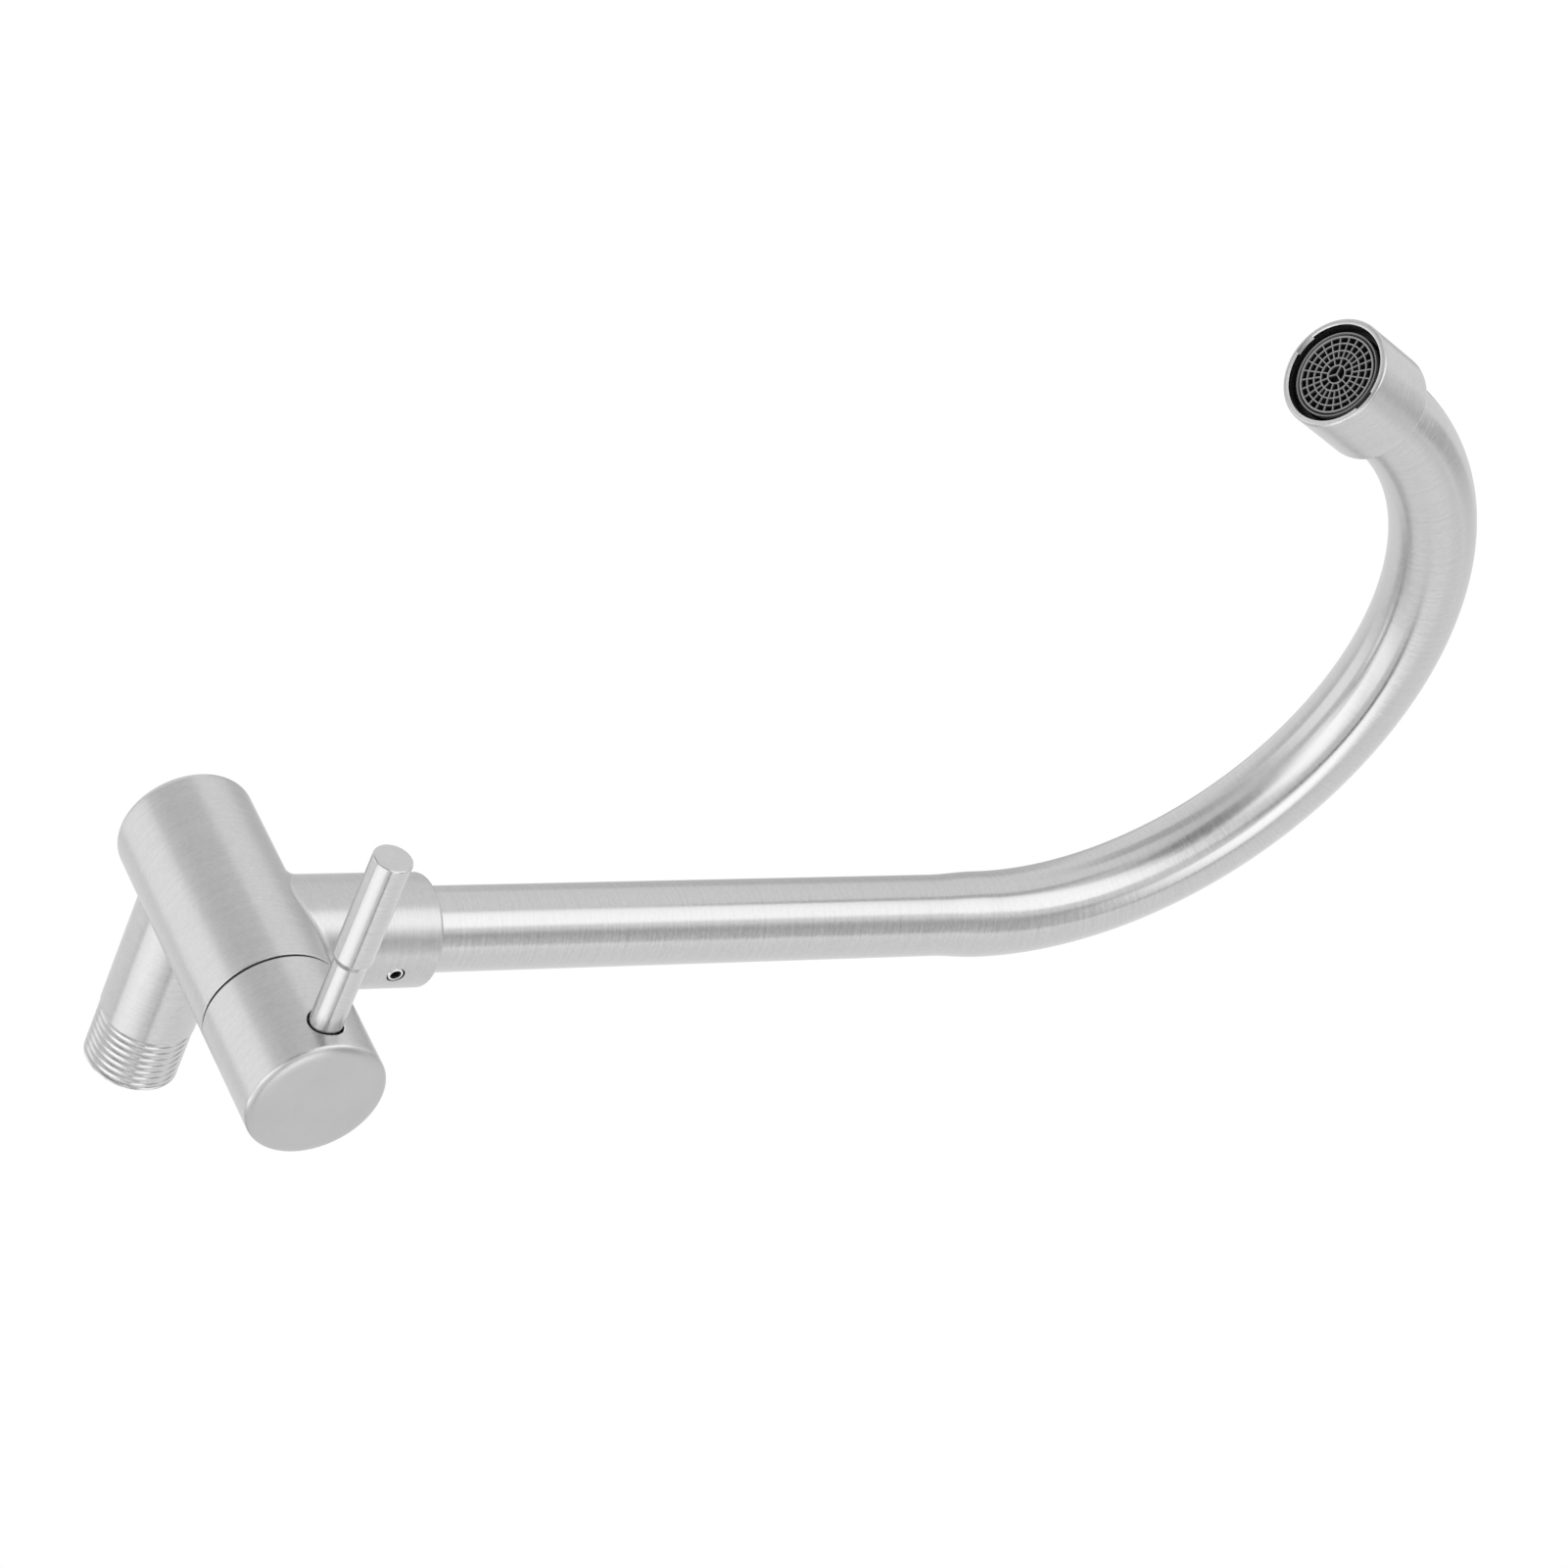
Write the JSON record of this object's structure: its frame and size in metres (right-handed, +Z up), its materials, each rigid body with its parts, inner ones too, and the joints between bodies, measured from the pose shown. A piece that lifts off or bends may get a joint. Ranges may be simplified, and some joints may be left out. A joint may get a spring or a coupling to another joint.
{
  "type": "wall tap",
  "caption": "Wall-mounted tap with a horizontal valve cylinder, a side lever on a turning end cap, and a swivelling gooseneck spout that ends in an aerator.",
  "frame": {"origin": "on the inlet pipe's axis, in the plane of the finished wall, where the inlet thread starts", "axes": "+Y along the inlet into the wall, +X along the valve cylinder towards the handle, +Z up the spout"},
  "size_m": [0.0836, 0.2237, 0.2914],
  "materials": {
    "brushed_stainless": "brushed",
    "polished_steel": "polished",
    "brass": "machined",
    "ceramic": "matt ceramic",
    "black_rubber": "matt",
    "white_plastic": "smooth",
    "grey_plastic": "satin",
    "steel_mesh": "woven"
  },
  "bodies": {
    "body": {"valve_body": "brushed_stainless", "inlet_pipe": "brushed_stainless", "spout_grub_screw": "polished_steel", "slide_ring": "white_plastic", "cartridge_housing": "brass", "flange_o_ring": "black_rubber", "seat_seal": "black_rubber", "fixed_disc": "ceramic"},
    "lever": {"handle_hub": "brushed_stainless", "hub_adaptor": "brass", "lever_rod": "brushed_stainless", "spindle": "brass", "moving_disc": "ceramic", "thrust_washer": "white_plastic", "spindle_clip": "polished_steel", "spindle_o_ring_inner": "black_rubber", "spindle_o_ring_outer": "black_rubber"},
    "spout": {"spout_tube": "brushed_stainless", "swivel_bush": "brass", "swivel_o_ring_lower": "black_rubber", "swivel_o_ring_upper": "black_rubber", "outlet_sleeve": "brushed_stainless", "aerator_housing": "polished_steel", "aerator_washer": "black_rubber", "aerator_body": "grey_plastic", "aerator_diffuser": "grey_plastic", "aerator_spacer": "grey_plastic", "aerator_mesh": "steel_mesh", "aerator_grille": "grey_plastic"}
  },
  "joints": [
    {"name": "lever_turn", "type": "hinge", "parent": "body", "child": "lever", "pos_m": [0.0621, -0.042, 0], "axis": [1, 0, 0], "range_deg": [0, 90]},
    {"name": "spout_swivel", "type": "hinge", "parent": "body", "child": "spout", "pos_m": [0.021, -0.042, 0.03], "axis": [0, 0, 1], "continuous": true}
  ]
}
